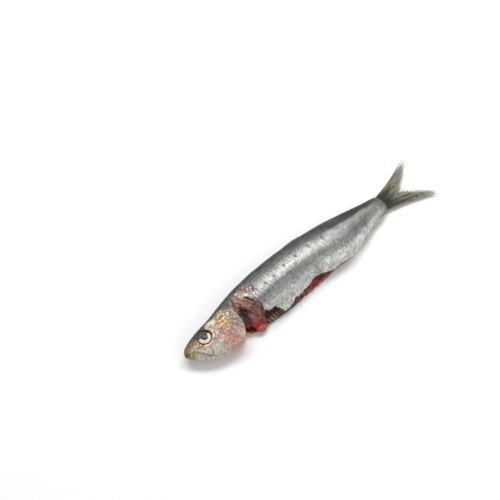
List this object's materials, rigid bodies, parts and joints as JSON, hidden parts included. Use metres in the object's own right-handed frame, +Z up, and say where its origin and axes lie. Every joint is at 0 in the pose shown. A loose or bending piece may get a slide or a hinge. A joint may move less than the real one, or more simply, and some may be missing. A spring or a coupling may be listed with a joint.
{
  "type": "gutted sardine",
  "caption": "Small gutted sardine lying on its side, with gill covers, jaw, eyes, gills, fins and an open ragged belly.",
  "frame": {"origin": "middle of the fish's outline on the surface it lies on", "axes": "+X towards the tail, +Y towards the back, +Z up out of the left flank"},
  "size_m": [0.1636, 0.0312, 0.0142],
  "materials": {
    "silver_skin": "wet silvery scaled skin, blue-grey on the back, torn red-brown flesh along the belly",
    "jaw_skin": "wet pale skin with an olive-yellow tip",
    "eye": "wet clear lens over a dark pupil and a pale cream iris",
    "gill_cover": "wet silvery pink bony plate with gold at its top",
    "gill": "wet dark red filaments",
    "red_flesh": "wet red flesh",
    "fin": "thin translucent olive-grey membrane on fine rays"
  },
  "bodies": {
    "root": {"body": "silver_skin", "lower_jaw": "jaw_skin", "left_eye": "eye", "right_eye": "eye", "left_gill_cover": "gill_cover", "right_gill_cover": "gill_cover", "left_maxilla": "gill_cover", "right_maxilla": "gill_cover", "left_gills": "gill", "right_gills": "gill", "throat_flesh": "red_flesh", "tail_fin": "fin", "dorsal_fin": "fin", "anal_fin": "fin"}
  },
  "joints": []
}
